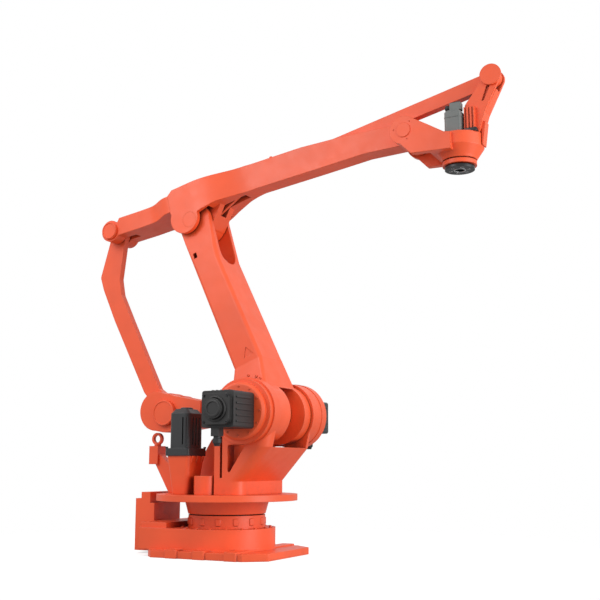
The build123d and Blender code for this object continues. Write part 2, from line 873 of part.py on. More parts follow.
# Levelling rod from the lever to the wrist bracket
with BuildPart() as level_rod:
    with BuildSketch(side(lever_x, lever_z, 0, forearm_angle)):
        Polygon(
            (65, -rod_depth),
            (65, rod_depth),
            (forearm_length, 30),
            (forearm_length, -rod_end_radius),
            (forearm_length - 40, -50),
            (0.52 * forearm_length, -44),
            (0.45 * forearm_length, -rod_depth),
            align=None,
        )
        with Locations((forearm_length, 0)):
            Circle(rod_end_radius)
    extrude(amount=rod_half, both=True)
    for face in (-rod_fork_inner, rod_half):
        with BuildSketch(side(lever_x, lever_z, face, forearm_angle)):
            Circle(rod_depth)
            with Locations((40, 0)):
                Rectangle(80, 2 * rod_depth)
        extrude(amount=rod_half - rod_fork_inner)
    for x, z in ((lever_x, lever_z), (top_x, top_z)):
        with BuildSketch(side(x, z, 0)):
            Circle(rod_pin_radius + pin_gap)
        extrude(amount=rod_half + 1, both=True, mode=Mode.SUBTRACT)

# Wrist yoke astride the forearm tip
with BuildPart() as wrist_yoke:
    with BuildSketch(side(wrist_x, wrist_z, -yoke_inner)):
        Circle(yoke_radius)
        Polygon(
            (-20, -75),
            (38, -135),
            (flange_reach, -141),
            (flange_reach, -50),
            (flange_reach - 36, -45),
            (134, 10),
            (44, 63),
            align=None,
        )
    extrude(amount=yoke_outer - yoke_inner)
    mirror(about=Plane.XZ)
    with BuildSketch(side(flange_x, wrist_z, 0)):
        Polygon(
            (0, -wrist_drop),
            (92, -wrist_drop),
            (100, -wrist_drop + 14),
            (wrist_radius, -wrist_drop + 62),
            (wrist_radius, -wrist_top_drop),
            (0, -wrist_top_drop),
            align=None,
        )
    revolve(axis=Axis((flange_x, 0, 0), (0, 0, 1)))
    with BuildSketch(side(wrist_x, wrist_z, yoke_inner)):
        Polygon((128, -130), (flange_reach, -141), (flange_reach, -55), (152, -55), align=None)
    extrude(amount=2 * yoke_inner)
    with BuildSketch(side(wrist_x, wrist_z, 0)):
        Circle(wrist_pin_radius)
    extrude(amount=yoke_outer + 1, both=True, mode=Mode.SUBTRACT)
    with BuildSketch(Plane.XY.offset(wrist_bottom)):
        with Locations((flange_x, 0)):
            Circle(flange_shaft_radius + pin_gap)
    extrude(amount=20, mode=Mode.SUBTRACT)

# Wrist pivot pin with round covers
with BuildPart() as wrist_pin:
    with BuildSketch(side(wrist_x, wrist_z, 0)):
        Circle(wrist_pin_radius)
    extrude(amount=yoke_outer, both=True)
    with BuildSketch(side(wrist_x, wrist_z, -yoke_outer)):
        Circle(wrist_cap_radius)
    extrude(amount=wrist_cap_depth)
    mirror(about=Plane.XZ)

# Ring under the wrist body
with BuildPart() as wrist_ring:
    with BuildSketch(Plane.XY.offset(ring_bottom)):
        with Locations((flange_x, 0)):
            Circle(ring_radius)
    extrude(amount=wrist_bottom - ring_bottom - ring_groove)
    with BuildSketch(Plane.XY.offset(wrist_bottom - ring_groove)):
        with Locations((flange_x, 0)):
            Circle(ring_radius - 12)
    extrude(amount=ring_groove)
    with BuildSketch(Plane.XY.offset(ring_bottom)):
        with Locations((flange_x, 0)):
            Circle(flange_shaft_radius + pin_gap)
    extrude(amount=wrist_bottom - ring_bottom, mode=Mode.SUBTRACT)

# Levelling bracket that rises from the wrist body, with ribbed feet and a front tongue
top_s = top_x - wrist_x
top_n = top_z - wrist_z
foot_s = flange_reach + bracket_offset
with BuildPart() as level_bracket:
    with BuildSketch(side(wrist_x, wrist_z, -bracket_inner)):
        with Locations((top_s, top_n)):
            Circle(bracket_end_radius)
        Polygon(
            (top_s - bracket_end_radius, top_n - 14),
            (top_s - bracket_neck, top_n - 74),
            (foot_s + 12, bracket_shoulder),
            (foot_s, 115),
            (foot_s, -wrist_top_drop),
            (foot_s + bracket_foot_depth, -wrist_top_drop),
            (foot_s + bracket_knee, bracket_knee_height),
            (top_s + 48, top_n - 20),
            align=None,
        )
    extrude(amount=bracket_outer - bracket_inner)
    with BuildSketch(side(wrist_x, wrist_z, 12 - bracket_outer)):
        Polygon(
            (top_s - 26, top_n - 56),
            (top_s - 4, top_n - 50),
            (top_s - 40, top_n - 132),
            (top_s - 54, top_n - 136),
            align=None,
        )
    extrude(amount=13, mode=Mode.SUBTRACT)
    with BuildSketch(side(wrist_x, wrist_z, -bracket_inner)):
        with Locations((foot_s + rib_depth / 2, (rib_top - wrist_top_drop) / 2)):
            Rectangle(rib_depth, rib_top + wrist_top_drop)
    extrude(amount=rib_outer - bracket_inner)
    with BuildSketch(Plane.XY.offset(wrist_top + 14)):
        with Locations((wrist_x + foot_s + rib_depth / 2, -rib_outer)):
            with GridLocations(18, 0, 3, 1):
                Rectangle(8, 16)
    extrude(amount=rib_top + wrist_top_drop, mode=Mode.SUBTRACT)
    mirror(about=Plane.XZ)
    with BuildSketch(side(wrist_x, wrist_z, bracket_inner)):
        Polygon(
            (foot_s, -wrist_top_drop),
            (foot_s + bracket_foot_depth, -wrist_top_drop),
            (foot_s + bracket_knee, bracket_knee_height),
            (top_s + 24, top_n - 76),
            (top_s - 18, top_n - 80),
            (top_s - 70, top_n - 105),
            (foot_s + 14, 120),
            (foot_s, 100),
            align=None,
        )
    extrude(amount=2 * bracket_inner)
    with BuildSketch(side(flange_x, wrist_z, bracket_inner)):
        Polygon(
            (wrist_radius, -106),
            (wrist_radius + 7, -106),
            (wrist_radius + 24, 20),
            (wrist_radius, 20),
            align=None,
        )
    extrude(amount=2 * bracket_inner)
    with BuildSketch(side(top_x, top_z, 0)):
        Circle(rod_pin_radius)
    extrude(amount=bracket_outer + 1, both=True, mode=Mode.SUBTRACT)

# Pin at the top of the bracket with one end disc
with BuildPart() as bracket_pin:
    with BuildSketch(side(top_x, top_z, 0)):
        Circle(rod_pin_radius)
    extrude(amount=bracket_outer, both=True)
    with BuildSketch(side(top_x, top_z, -bracket_outer)):
        Circle(bracket_disc_radius)
    extrude(amount=bracket_disc_depth)

# Wrist motor on top of the wrist body
with BuildPart() as wrist_motor:
    with BuildSketch(Plane.XY.offset(wrist_top)):
        with Locations((flange_x - 3, wrist_motor_y)):
            RectangleRounded(wrist_motor_width, wrist_motor_width, wrist_motor_corner)
    extrude(amount=wrist_motor_height)
    chamfer(faces().sort_by(Axis.Z)[-1].edges(), length=wrist_motor_corner)
    with BuildSketch(Plane.XY.offset(wrist_top + wrist_motor_height)):
        with Locations((flange_x + 8, wrist_motor_y - 4)):
            Rectangle(60, 40)
    extrude(amount=41)

# Tool flange with pilot bore
with BuildPart() as tool_flange:
    with BuildSketch(Plane.XY.offset(flange_bottom)):
        with Locations((flange_x, 0)):
            Circle(flange_radius)
    extrude(amount=flange_top - flange_bottom)
    with BuildSketch(Plane.XY.offset(flange_top)):
        with Locations((flange_x, 0)):
            Circle(flange_shaft_radius)
    extrude(amount=wrist_bottom + 15 - flange_top)
    with BuildSketch(Plane.XY.offset(flange_bottom)):
        with Locations((flange_x, 0)):
            Circle(pilot_radius)
    extrude(amount=pilot_depth, mode=Mode.SUBTRACT)
    with BuildSketch(Plane.XY.offset(flange_bottom)):
        with Locations((flange_x, 0)):
            with PolarLocations(bolt_circle_radius, bolt_count):
                Circle(bolt_radius)
    extrude(amount=bolt_depth, mode=Mode.SUBTRACT)

pieces = {
    "base": base.part,
    "connector_panel": connector_panel.part,
    "turntable": turntable.part,
    "column": column.part,
    "lifting_eye": lifting_eye.part,
    "swing_gear_housing": swing_gear_housing.part,
    "swing_motor": swing_motor.part,
    "cable_ring": cable_ring.part,
    "shoulder_reducer": shoulder_reducer.part,
    "shoulder_motor": shoulder_motor.part,
    "elbow_reducer": elbow_reducer.part,
    "elbow_motor": elbow_motor,
    "lower_arm": lower_arm.part,
    "elbow_pin": elbow_pin.part,
    "crank": crank.part,
    "crank_pin": crank_pin.part,
    "rear_link": rear_link.part,
    "forearm": forearm.part,
    "elbow_caps": elbow_caps.part,
    "rear_arm": rear_arm.part,
    "rear_pin": rear_pin.part,
    "level_lever": level_lever.part,
    "level_rod": level_rod.part,
    "wrist_yoke": wrist_yoke.part,
    "wrist_pin": wrist_pin.part,
    "wrist_ring": wrist_ring.part,
    "level_bracket": level_bracket.part,
    "bracket_pin": bracket_pin.part,
    "wrist_motor": wrist_motor.part,
    "tool_flange": tool_flange.part,
}
for name, piece in pieces.items():
    piece.label = name
    export_step(piece, f"parts/{name}.step")
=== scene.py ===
# Looks of the palletizing robot arm: paint, metal, fasteners, connectors and small castings.
import json
from math import atan2, cos, pi, radians, sin

import bmesh
import bpy
from mathutils import Matrix, Vector


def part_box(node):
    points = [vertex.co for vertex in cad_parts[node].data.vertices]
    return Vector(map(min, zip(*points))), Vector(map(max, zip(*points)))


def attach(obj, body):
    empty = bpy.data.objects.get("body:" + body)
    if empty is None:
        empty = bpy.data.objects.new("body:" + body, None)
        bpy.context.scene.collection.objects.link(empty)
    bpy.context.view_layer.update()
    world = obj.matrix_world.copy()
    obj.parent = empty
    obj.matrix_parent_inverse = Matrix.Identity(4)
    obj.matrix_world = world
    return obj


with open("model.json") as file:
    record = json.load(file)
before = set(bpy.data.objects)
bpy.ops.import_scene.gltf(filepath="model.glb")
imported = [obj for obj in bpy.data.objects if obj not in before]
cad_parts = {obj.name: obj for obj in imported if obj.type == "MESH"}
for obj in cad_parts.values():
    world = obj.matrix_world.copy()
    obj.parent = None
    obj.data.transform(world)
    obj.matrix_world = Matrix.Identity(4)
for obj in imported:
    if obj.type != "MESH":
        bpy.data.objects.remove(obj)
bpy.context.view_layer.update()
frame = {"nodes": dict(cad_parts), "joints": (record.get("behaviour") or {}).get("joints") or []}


# Places on the frame, in metres
def foot(node):
    """Middle of the lower face of a node's box."""
    low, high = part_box(node)
    return Vector(((low.x + high.x) / 2, (low.y + high.y) / 2, low.z))


def outer_face(centre, node, side):
    """Point on a node's right (-1) or left (1) face, level with a pivot."""
    low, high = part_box(node)
    return Vector((centre.x, high.y if side > 0 else low.y, centre.z))


pivot = {joint["name"]: Vector(joint["pos_m"]) for joint in frame["joints"]}
SHOULDER = pivot["shoulder"]
CRANK_PIN = pivot["crank_pin_turn"]
ELBOW = pivot["forearm_turn"]
REAR_PIN = ELBOW + CRANK_PIN - SHOULDER
WRIST = pivot["wrist_level"]
ARM_ANGLE = atan2(ELBOW.z - SHOULDER.z, ELBOW.x - SHOULDER.x)
FORE_ANGLE = atan2(WRIST.z - ELBOW.z, WRIST.x - ELBOW.x)
SWING_MOTOR = foot("swing_motor")
WRIST_MOTOR = foot("wrist_motor")
WRIST_TOP = Vector((pivot["tool_turn"].x, 0.0, WRIST_MOTOR.z))
FLANGE_FACE = foot("tool_flange")
SIDES = ((-1, "right"), (1, "left"))

# Sizes of the castings that carry details, in metres
DRUM_TOP = 0.152
NECK_RADIUS = 0.213
NECK_PAD_HEIGHT = 0.187
SWING_FLANGE_THICKNESS = 0.042
FLARE_START = 0.070
FLARE_LENGTH = 0.215
FLARE_HALF_WIDTH = 0.190
FLARE_NARROWING = 0.060

# Slope of the forearm's top edge against its axis, in radians
FOREARM_TAPER = 0.092

# Angle up to which neighbouring faces are shaded as one smooth surface
SMOOTH_ANGLE = radians(35.0)


# Parts of a material
def noise(tree, coords, scale, detail, rough=0.55):
    node = tree.nodes.new("ShaderNodeTexNoise")
    node.inputs["Scale"].default_value = scale
    node.inputs["Detail"].default_value = detail
    node.inputs["Roughness"].default_value = rough
    tree.links.new(coords, node.inputs["Vector"])
    return node.outputs["Fac"]


def ramp(tree, source, stops):
    """Turns a value into a grey by (place, grey) stops."""
    node = tree.nodes.new("ShaderNodeValToRGB")
    for element, (place, grey) in zip(node.color_ramp.elements, stops):
        element.position = place
        element.color = (grey, grey, grey, 1.0)
    tree.links.new(source, node.inputs["Fac"])
    return node.outputs["Color"]


def mix(tree, kind, factor, a, b):
    """Mixes two colours; a mix node's colour sockets are its inputs 6 and 7 and its output 2."""
    node = tree.nodes.new("ShaderNodeMix")
    node.data_type = "RGBA"
    node.blend_type = kind
    if isinstance(factor, float):
        node.inputs["Factor"].default_value = factor
    else:
        tree.links.new(factor, node.inputs["Factor"])
    for value, socket in ((a, node.inputs[6]), (b, node.inputs[7])):
        if isinstance(value, tuple):
            socket.default_value = (*value, 1.0)
        else:
            tree.links.new(value, socket)
    return node.outputs[2]


def tint_drift(tree, coords, colour):
    """Colour that drifts a little over the surface."""
    shades = ramp(tree, noise(tree, coords, scale=3.2, detail=3.0), [(0.3, 0.90), (0.7, 1.06)])
    return mix(tree, "MULTIPLY", 1.0, colour, shades)


def painted_crevice_shade(tree, coords, base, dark):
    """Painted shade: dark colour in crevices and recesses, where ambient occlusion finds them, broken up by
    noise.
    """
    crevice = tree.nodes.new("ShaderNodeAmbientOcclusion")
    crevice.inputs["Distance"].default_value = 0.15
    crevice.samples = 8
    openness = tree.nodes.new("ShaderNodeMath")
    openness.operation = "MULTIPLY_ADD"
    tree.links.new(noise(tree, coords, scale=26.0, detail=5.0), openness.inputs[0])
    openness.inputs[1].default_value = 0.35
    tree.links.new(crevice.outputs["AO"], openness.inputs[2])
    # Painted shade: the more occluded the spot, the closer its colour comes to the dark shade colour.
    painted_shade = ramp(tree, openness.outputs[0], [(0.34, 1.0), (0.66, 0.0)])
    return mix(tree, "MIX", painted_shade, base, dark)


def edge_wear_and_highlight(tree, coords, base, wear_and_highlight, amount, rounded):
    """Lighter chipped colour where the rounded normal turns away from the face: partly wear, partly a
    painted edge highlight.
    """
    turn = tree.nodes.new("ShaderNodeVectorMath")
    turn.operation = "DOT_PRODUCT"
    tree.links.new(rounded, turn.inputs[0])
    tree.links.new(tree.nodes.new("ShaderNodeNewGeometry").outputs["Normal"], turn.inputs[1])
    # Edges get the lighter colour: partly wear chips, partly painted highlight.
    edges = ramp(tree, turn.outputs["Value"], [(0.80, 1.0), (0.985, 0.0)])
    chips = ramp(tree, noise(tree, coords, scale=95.0, detail=6.0, rough=0.7), [(0.50, 0.0), (0.64, 1.0)])
    strength = tree.nodes.new("ShaderNodeMath")
    strength.operation = "MULTIPLY"
    strength.inputs[1].default_value = amount
    tree.links.new(mix(tree, "MULTIPLY", 1.0, edges, chips), strength.inputs[0])
    return mix(tree, "MIX", strength.outputs[0], base, wear_and_highlight)


def rounded_edges(tree, radius):
    """Normal that rounds the edges of a mesh."""
    bevel = tree.nodes.new("ShaderNodeBevel")
    bevel.samples = 6
    bevel.inputs["Radius"].default_value = radius
    return bevel.outputs["Normal"]


def fine_relief(tree, coords, grain, strength, rounded):
    """Normal with a fine grain on it."""
    relief = tree.nodes.new("ShaderNodeBump")
    relief.inputs["Strength"].default_value = strength
    relief.inputs["Distance"].default_value = 0.002
    tree.links.new(noise(tree, coords, scale=grain, detail=3.0), relief.inputs["Height"])
    tree.links.new(rounded, relief.inputs["Normal"])
    return relief.outputs["Normal"]


def surface(name, colour, dark, wear_and_highlight, rough, grain, bump,
            metallic=0.0, edge=0.004, wear_and_highlight_amount=0.5, coat=0.0):
    """Painted, cast or machined surface with tint drift, painted shade in crevices, edge wear with a
    painted edge highlight, and fine grain.
    """
    material = bpy.data.materials.new(name)
    material.use_nodes = True
    tree = material.node_tree
    shader = tree.nodes["Principled BSDF"]
    coords = tree.nodes.new("ShaderNodeTexCoord").outputs["Object"]
    rounded = rounded_edges(tree, edge)

    base = tint_drift(tree, coords, colour)
    # Painted shade darkens the colour in crevices and recesses.
    base = painted_crevice_shade(tree, coords, base, dark)
    # Lighter edge colour, partly wear and partly painted highlight.
    base = edge_wear_and_highlight(tree, coords, base, wear_and_highlight, wear_and_highlight_amount, rounded)
    tree.links.new(base, shader.inputs["Base Color"])

    patches = noise(tree, coords, scale=14.0, detail=4.0)
    gloss = ramp(tree, patches, [(0.3, rough - 0.05), (0.7, rough + 0.07)])
    tree.links.new(gloss, shader.inputs["Roughness"])
    tree.links.new(fine_relief(tree, coords, grain, bump, rounded), shader.inputs["Normal"])

    shader.inputs["Metallic"].default_value = metallic
    shader.inputs["Coat Weight"].default_value = coat
    shader.inputs["Coat Roughness"].default_value = 0.25
    return material


# Materials
# Each dark colour below is painted shade for crevices; each wear colour is a lighter edge colour, partly
# wear and partly painted highlight.
paint = surface("orange_paint", colour=(0.84, 0.092, 0.021), dark=(0.20, 0.024, 0.012),
                wear_and_highlight=(0.95, 0.30, 0.17), rough=0.48, grain=520.0, bump=0.06,
                edge=0.006, wear_and_highlight_amount=0.30, coat=0.12)
black_cast = surface("black_motor_paint", colour=(0.025, 0.026, 0.028), dark=(0.006, 0.006, 0.006),
                     wear_and_highlight=(0.11, 0.11, 0.11), rough=0.46, grain=700.0, bump=0.10)
grey_cast = surface("dark_grey_motor_paint", colour=(0.019, 0.018, 0.018), dark=(0.007, 0.008, 0.008),
                    wear_and_highlight=(0.12, 0.12, 0.12), rough=0.48, grain=700.0, bump=0.10)
mid_grey = surface("mid_grey_motor_paint", colour=(0.15, 0.16, 0.155), dark=(0.045, 0.05, 0.05),
                   wear_and_highlight=(0.36, 0.36, 0.36), rough=0.45, grain=700.0, bump=0.08)
steel = surface("machined_steel", colour=(0.46, 0.46, 0.47), dark=(0.10, 0.09, 0.08),
                wear_and_highlight=(0.75, 0.75, 0.76), rough=0.32, grain=1500.0, bump=0.05,
                metallic=1.0, wear_and_highlight_amount=0.4)
dark_steel = surface("blackened_steel", colour=(0.045, 0.045, 0.048), dark=(0.012, 0.012, 0.012),
                     wear_and_highlight=(0.30, 0.30, 0.31), rough=0.38, grain=1200.0, bump=0.06, metallic=0.8)
plastic = surface("black_plastic", colour=(0.016, 0.016, 0.017), dark=(0.006, 0.006, 0.006),
                  wear_and_highlight=(0.06, 0.06, 0.06), rough=0.55, grain=1400.0, bump=0.12, edge=0.002)

node_material = {
    "swing_motor": black_cast,
    "shoulder_motor": grey_cast,
    "elbow_motor": black_cast,
    "wrist_motor": mid_grey,
    "tool_flange": dark_steel,
    "connector_panel": dark_steel,
}
for name, node in frame["nodes"].items():
    node.data.materials.clear()
    node.data.materials.append(node_material.get(name, paint))


# Mesh tools
def mesh_object(name, build):
    """New object whose mesh a function builds."""
    mesh_data = bmesh.new()
    build(mesh_data)
    mesh = bpy.data.meshes.new(name)
    mesh_data.to_mesh(mesh)
    mesh_data.free()
    obj = bpy.data.objects.new(name, mesh)
    bpy.context.scene.collection.objects.link(obj)
    return obj


def piece(name, build, material, body):
    """Piece of the arm that moves with a body."""
    def build_clean(mesh_data):
        build(mesh_data)
        bmesh.ops.remove_doubles(mesh_data, verts=mesh_data.verts, dist=1e-6)
        bmesh.ops.recalc_face_normals(mesh_data, faces=mesh_data.faces)

    obj = mesh_object(name, build_clean)
    for face in obj.data.polygons:
        face.use_smooth = True
    obj.data.set_sharp_from_angle(angle=SMOOTH_ANGLE)
    obj.data.materials.append(material)
    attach(obj, body)


def axis_frame(centre, axis, up=(0.0, 0.0, 1.0)):
    """Matrix whose Z runs along an axis, placed at a centre."""
    z = Vector(axis).normalized()
    x = Vector(up).cross(z)
    if x.length < 1e-6:
        x = Vector((1.0, 0.0, 0.0))
    x.normalize()
    y = z.cross(x)
    turn = Matrix((x, y, z)).transposed().to_4x4()
    return Matrix.Translation(centre) @ turn


def side_point(origin, along, across, angle, y):
    """Point in the side view at a distance along and across a direction."""
    x = origin.x + along * cos(angle) - across * sin(angle)
    z = origin.z + along * sin(angle) + across * cos(angle)
    return Vector((x, y, z))


def polygon(radius, sides):
    return [(radius * cos(2 * pi * k / sides), radius * sin(2 * pi * k / sides)) for k in range(sides)]


def rounded_rectangle(width, depth, radius, steps=4):
    points = []
    for corner, (sx, sy) in enumerate(((1, 1), (-1, 1), (-1, -1), (1, -1))):
        for step in range(steps + 1):
            angle = corner * pi / 2 + step * pi / 2 / steps
            x = sx * (width / 2 - radius) + radius * cos(angle)
            y = sy * (depth / 2 - radius) + radius * sin(angle)
            points.append((x, y))
    return points


def row(mesh_data, place, outline, height):
    """Vertices of a flat outline at a height along the axis of a matrix."""
    return [mesh_data.verts.new(place @ Vector((x, y, height))) for x, y in outline]


def band(mesh_data, lower, upper):
    """Faces between two rows with as many vertices, or with one at a tip."""
    count = max(len(lower), len(upper))
    for step in range(count):
        after = (step + 1) % count
        if len(lower) == 1:
            mesh_data.faces.new((lower[0], upper[step], upper[after]))
        elif len(upper) == 1:
            mesh_data.faces.new((lower[step], upper[0], lower[after]))
        else:
            mesh_data.faces.new((lower[step], lower[after], upper[after], upper[step]))


def stack(mesh_data, rows):
    """Closed form through rows from the lowest to the highest."""
    for lower, upper in zip(rows, rows[1:]):
        band(mesh_data, lower, upper)
    mesh_data.faces.new(rows[0][::-1])
    mesh_data.faces.new(rows[-1])


def lathe(mesh_data, place, profile, steps):
    """Turned form from (radius, height) points along the axis of a matrix."""
    rings = []
    for radius, height in profile:
        outline = polygon(radius, steps) if radius > 0.0 else [(0.0, 0.0)]
        rings.append(row(mesh_data, place, outline, height))
    for lower, upper in zip(rings, rings[1:]):
        band(mesh_data, lower, upper)


def prism(mesh_data, place, outline, low, high):
    """Closed prism from a flat outline between two heights."""
    stack(mesh_data, [row(mesh_data, place, outline, low), row(mesh_data, place, outline, high)])


def soft_block(mesh_data, place, width, depth, low, high, radius, lip=0.002):
    """Block with rounded corners and a chamfered top edge."""
    outer = rounded_rectangle(width, depth, radius)
    inner = rounded_rectangle(width - 2 * lip, depth - 2 * lip, max(radius - lip, 0.0005))
    heights = ((outer, low), (outer, high - lip), (inner, high))
    stack(mesh_data, [row(mesh_data, place, outline, height) for outline, height in heights])


def socket_screw(mesh_data, place, radius, height):
    """Cap screw with a chamfered head and a hexagon socket."""
    sides = 20
    rim_radius = radius * 0.60
    head = [(radius, 0.0), (radius, height * 0.86), (radius * 0.86, height), (rim_radius, height)]
    lathe(mesh_data, place, head, sides)
    hexagon = polygon(radius * 0.48, 6)
    rim = row(mesh_data, place, polygon(rim_radius, sides), height)
    mouth = row(mesh_data, place, hexagon, height)
    bottom = row(mesh_data, place, hexagon, height * 0.45)
    for step in range(sides):
        after = (step + 1) % sides
        near = int(round(step * 6 / sides)) % 6
        near_after = int(round(after * 6 / sides)) % 6
        if near == near_after:
            mesh_data.faces.new((rim[step], rim[after], mouth[near]))
        else:
            mesh_data.faces.new((rim[step], rim[after], mouth[near_after], mouth[near]))
    band(mesh_data, mouth, bottom)
    mesh_data.faces.new(bottom)
    mesh_data.faces.new(row(mesh_data, place, polygon(radius, sides), 0.0)[::-1])


def ring_places(centre, axis, radius, count, start=0.0):
    base = axis_frame(centre, axis)
    for step in range(count):
        angle = start + 2 * pi * step / count
        yield base @ Matrix.Translation((radius * cos(angle), radius * sin(angle), 0.0))


def screw_ring(name, body, centre, axis, circle, count, head, height, start=0.0):
    """Painted cap screws on a circle."""
    def build(mesh_data):
        for place in ring_places(centre, axis, circle, count, start):
            socket_screw(mesh_data, place, head, height)

    piece(name, build, paint, body)


# Base
screw_ring("drum_screws", "base_body", Vector((0.0, 0.0, DRUM_TOP)), (0, 0, 1),
           circle=0.248, count=18, head=0.008, height=0.006)


def neck_bosses(mesh_data):
    """Cast pads round the fixed neck."""
    count = 14
    start = 0.1
    for step in range(count):
        angle = start + 2 * pi * step / count
        centre = Vector((NECK_RADIUS * cos(angle), NECK_RADIUS * sin(angle), NECK_PAD_HEIGHT))
        place = axis_frame(centre, (cos(angle), sin(angle), 0.0))
        soft_block(mesh_data, place, width=0.030, depth=0.040, low=0.0, high=0.007, radius=0.006, lip=0.003)


piece("neck_bosses", neck_bosses, paint, "base_body")


def panel_sockets(mesh_data):
    """Round connector sockets on the rear panel."""
    low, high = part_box("connector_panel")
    drop = 0.012
    aside = 0.055
    height = (low.z + high.z) / 2 - drop
    profile = [(0.0, 0.0), (0.034, 0.0), (0.034, 0.006), (0.029, 0.008),
               (0.029, 0.016), (0.022, 0.016), (0.022, 0.006), (0.0, 0.006)]
    for side in (-1, 1):
        lathe(mesh_data, axis_frame(Vector((low.x, side * aside, height)), (-1, 0, 0)), profile, 40)


piece("panel_sockets", panel_sockets, plastic, "base_body")


# Shoulder drives
screw_ring("shoulder_drive_screws", "column_body", outer_face(SHOULDER, "shoulder_reducer", -1), (0, -1, 0),
           circle=0.131, count=12, head=0.0055, height=0.003)
screw_ring("elbow_drive_screws", "column_body", outer_face(SHOULDER, "elbow_reducer", 1), (0, 1, 0),
           circle=0.158, count=16, head=0.0070, height=0.005)


def drive_details(label, side, motor_material):
    """Cooling ribs, end cover, corner screws and plug of one shoulder drive motor."""
    low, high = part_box(label + "_motor")
    seat = outer_face(SHOULDER, label + "_reducer", side)
    half_width = (high.x - low.x) / 2
    top = high.z - SHOULDER.z
    bottom = low.z - SHOULDER.z
    rib_middle = 0.107
    rib_length = 0.150
    rib_width = 0.010
    side_rib_pitch = 0.031
    top_rib_pitch = 0.025
    plug_place = 0.175
    cover_face = 0.230
    end_face = high.y - low.y
    out = (0, side, 0)

    def at(x, y, z):
        return seat + Vector((x, side * y, z))

    def ribs(mesh_data):
        rib = {"low": -0.001, "high": 0.005, "radius": 0.003, "lip": 0.0015}
        for step in range(-2, 3):
            for face in (-1, 1):
                centre = at(face * half_width, rib_middle, step * side_rib_pitch)
                soft_block(mesh_data, axis_frame(centre, (face, 0, 0)), rib_length, rib_width, **rib)
        for step in range(-2, 3):
            centre = at(step * top_rib_pitch, rib_middle, top)
            soft_block(mesh_data, axis_frame(centre, (0, 0, 1), (0, 1, 0)), rib_width, rib_length, **rib)

    piece(label + "_motor_ribs", ribs, motor_material, "column_body")

    def end_cover(mesh_data):
        outer = [(0.066, 0.0), (0.066, 0.006), (0.062, 0.010), (0.056, 0.010), (0.056, 0.0)]
        inner = [(0.045, -0.001), (0.045, 0.003), (0.041, 0.004),
                 (0.034, 0.004), (0.032, 0.001), (0.032, -0.001)]
        lathe(mesh_data, axis_frame(at(0, cover_face, 0), out), outer, 48)
        lathe(mesh_data, axis_frame(at(0, end_face, 0), out), inner, 40)

    piece(label + "_motor_end", end_cover, motor_material, "column_body")

    def corner_screws(mesh_data):
        for x in (-0.070, 0.070):
            for z in (-0.068, 0.068):
                socket_screw(mesh_data, axis_frame(at(x, cover_face, z), out), radius=0.007, height=0.007)

    piece(label + "_motor_screws", corner_screws, dark_steel, "column_body")

    def plug(mesh_data):
        profile = [(0.0, 0.0), (0.019, 0.0), (0.019, 0.010), (0.023, 0.012),
                   (0.023, 0.034), (0.018, 0.038), (0.014, 0.050), (0.0, 0.050)]
        lathe(mesh_data, axis_frame(at(-0.020, plug_place, bottom), (0, 0, -1)), profile, 32)

    piece(label + "_motor_plug", plug, plastic, "column_body")


drive_details("shoulder", -1, grey_cast)
drive_details("elbow", 1, black_cast)


# Lower arm
def flare_bolts(mesh_data):
    """Bolts on the sloping sides of the flared foot."""
    slope = atan2(FLARE_NARROWING, FLARE_LENGTH)
    for along, across in ((0.208, -0.033), (0.181, -0.081), (0.160, -0.104)):
        half_width = FLARE_HALF_WIDTH - FLARE_NARROWING * (along - FLARE_START) / FLARE_LENGTH
        for side in (-1, 1):
            centre = side_point(SHOULDER, along, across, ARM_ANGLE, side * half_width)
            axis = (sin(slope) * cos(ARM_ANGLE), side * cos(slope), sin(slope) * sin(ARM_ANGLE))
            socket_screw(mesh_data, axis_frame(centre, axis), radius=0.008, height=0.005)


piece("flare_bolts", flare_bolts, paint, "lower_arm_body")


# Swing drive
def swing_screws(mesh_data):
    for x in (-0.069, 0.069):
        for y in (-0.086, 0.086):
            place = Matrix.Translation(SWING_MOTOR + Vector((x, y, SWING_FLANGE_THICKNESS)))
            socket_screw(mesh_data, place, radius=0.008, height=0.008)


piece("swing_motor_screws", swing_screws, dark_steel, "column_body")


def swing_cap(mesh_data):
    """Round cap, sunk a little into the motor's top."""
    sink = 0.001
    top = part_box("swing_motor")[1].z - sink
    profile = [(0.0, 0.0), (0.036, 0.0), (0.036, 0.006), (0.030, 0.010), (0.0, 0.010)]
    lathe(mesh_data, Matrix.Translation((SWING_MOTOR.x, SWING_MOTOR.y, top)), profile, 40)


piece("swing_motor_cap", swing_cap, black_cast, "column_body")


def gear_gussets(mesh_data):
    """Gusset plates under the motor flange."""
    outline = [(-0.012, 0.0), (0.014, 0.0), (0.010, -0.020), (-0.022, -0.090)]
    upright = Matrix.Rotation(pi / 2, 4, "X")
    for x, y, angle in ((0.072, 0.0, 0.0), (0.072, -0.050, 0.0), (0.072, 0.050, 0.0), (-0.072, 0.0, pi)):
        place = Matrix.Translation(SWING_MOTOR + Vector((x, y, 0.0))) @ Matrix.Rotation(angle, 4, "Z")
        prism(mesh_data, place @ upright, outline, low=-0.006, high=0.006)


piece("gear_gussets", gear_gussets, paint, "column_body")


# Rear pins
def cap_rim(name, body, centre, side, radius):
    """Raised rim on a pin's cap."""
    profile = [(radius, -0.002), (radius, 0.0015), (radius - 0.002, 0.003),
               (radius - 0.007, 0.003), (radius - 0.009, 0.0), (radius - 0.009, -0.002)]

    def build(mesh_data):
        lathe(mesh_data, axis_frame(centre, (0, side, 0)), profile, 64)

    piece(name, build, paint, body)


for side, label in SIDES:
    rear_cap = outer_face(REAR_PIN, "rear_pin", side)
    crank_cap = outer_face(CRANK_PIN, "crank_pin", side)
    cap_rim("rear_cap_" + label + "_rim", "forearm_body", rear_cap, side, radius=0.052)
    cap_rim("crank_cap_" + label + "_rim", "crank_pin_body", crank_cap, side, radius=0.072)


